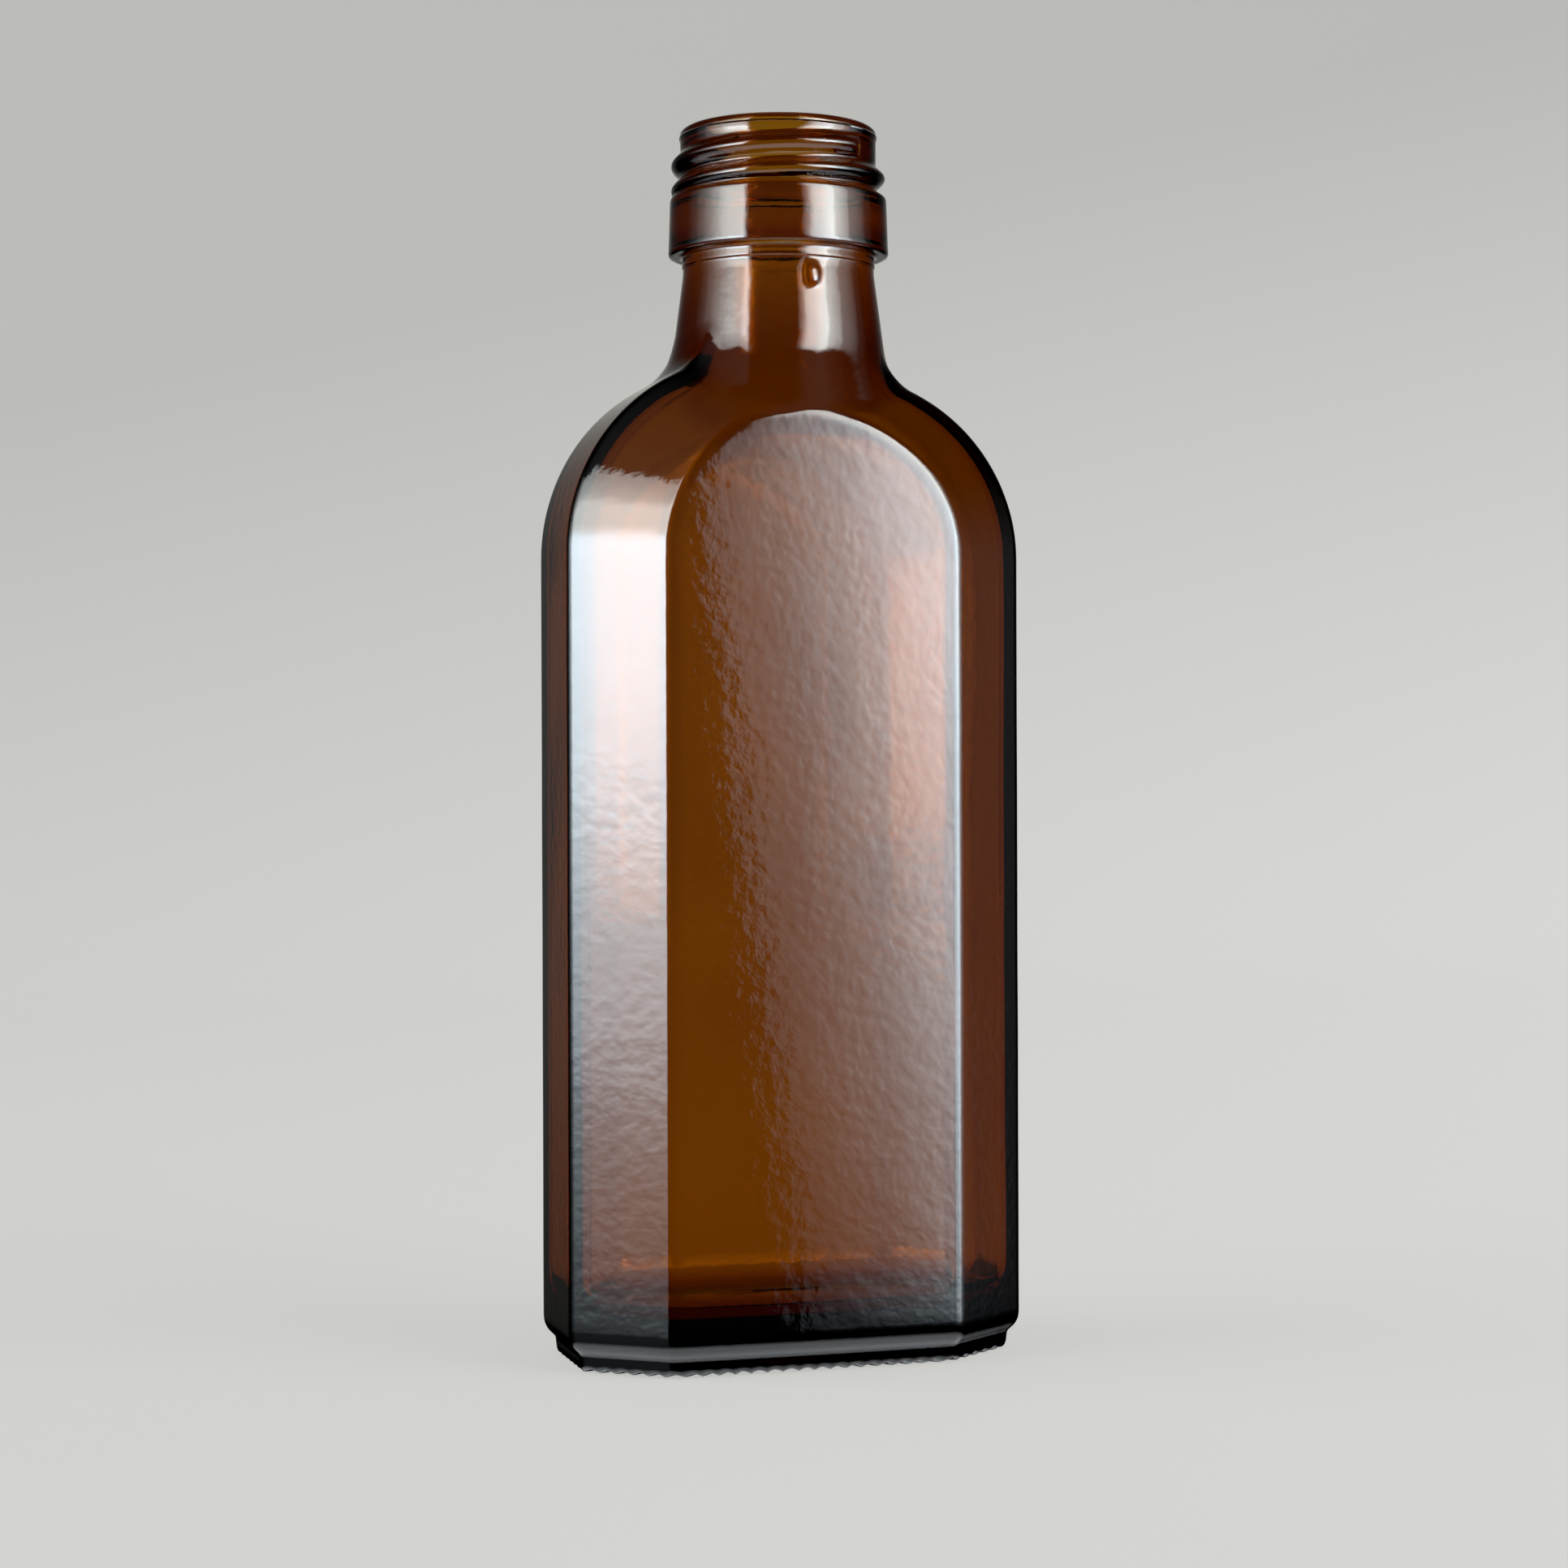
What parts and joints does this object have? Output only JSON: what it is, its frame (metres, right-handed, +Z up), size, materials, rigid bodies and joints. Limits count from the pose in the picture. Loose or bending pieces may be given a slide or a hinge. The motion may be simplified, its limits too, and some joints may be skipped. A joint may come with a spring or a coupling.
{
  "type": "medicine bottle",
  "caption": "Empty flat medicine bottle with faceted sides, arched front and back panels, rounded shoulders and a short neck with a screw finish.",
  "frame": {"origin": "middle of the base, on the plane that the bottle stands on", "axes": "+Z up along the neck's axis, front panel faces -Y, narrow sides face +X and -X"},
  "size_m": [0.0602, 0.0332, 0.159],
  "materials": {
    "glass": "clear amber, smooth and glossy, with the faint ripple of moulded glass"
  },
  "bodies": {
    "root": {"bottle": "glass"}
  },
  "joints": []
}
